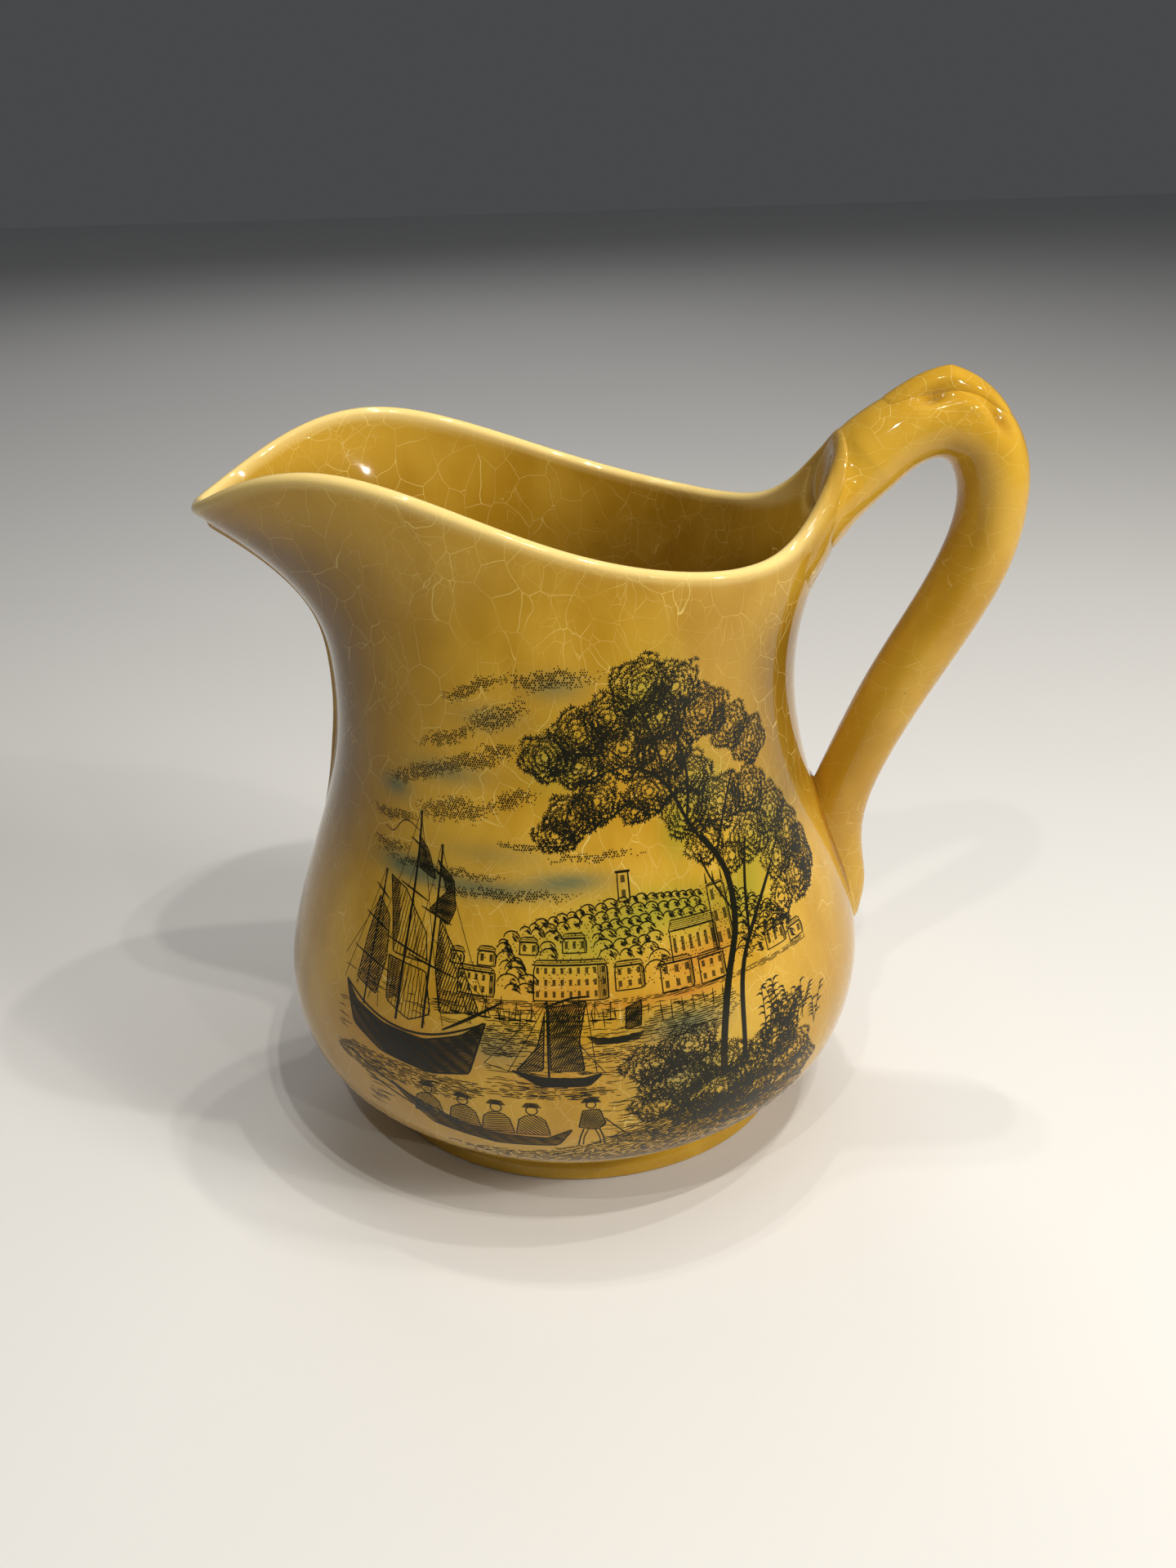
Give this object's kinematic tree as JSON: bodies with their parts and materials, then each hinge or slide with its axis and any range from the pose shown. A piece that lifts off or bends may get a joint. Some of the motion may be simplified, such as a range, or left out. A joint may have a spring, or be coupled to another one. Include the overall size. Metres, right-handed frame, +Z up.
{
  "type": "ceramic pitcher",
  "caption": "Oval footed pitcher with a pinched pouring spout, a looped handle with a thumb rest, and a printed panel on each side.",
  "frame": {"origin": "centre of the foot ring on the table", "axes": "+Z up, -X to the spout tip, +X to the handle, -Y out of the printed front"},
  "size_m": [0.1926, 0.1408, 0.1932],
  "materials": {
    "amber_glaze": "amber crackle glaze over buff earthenware",
    "handle_glaze": "amber crackle glaze, finer cross cracks",
    "foot_glaze": "amber glaze, wiped thin on the standing edge",
    "slip_glaze": "darker pooled glaze",
    "print_ink": "dark line print with green and rust washes under the glaze"
  },
  "bodies": {
    "root": {"vessel_body": "amber_glaze", "foot_ring": "foot_glaze", "handle": "handle_glaze", "thumb_rest": "handle_glaze", "spout_keel_rib": "amber_glaze", "lower_luting_slip": "slip_glaze", "upper_luting_slip": "slip_glaze", "front_transfer_print": "print_ink", "back_transfer_print": "print_ink"}
  },
  "joints": []
}
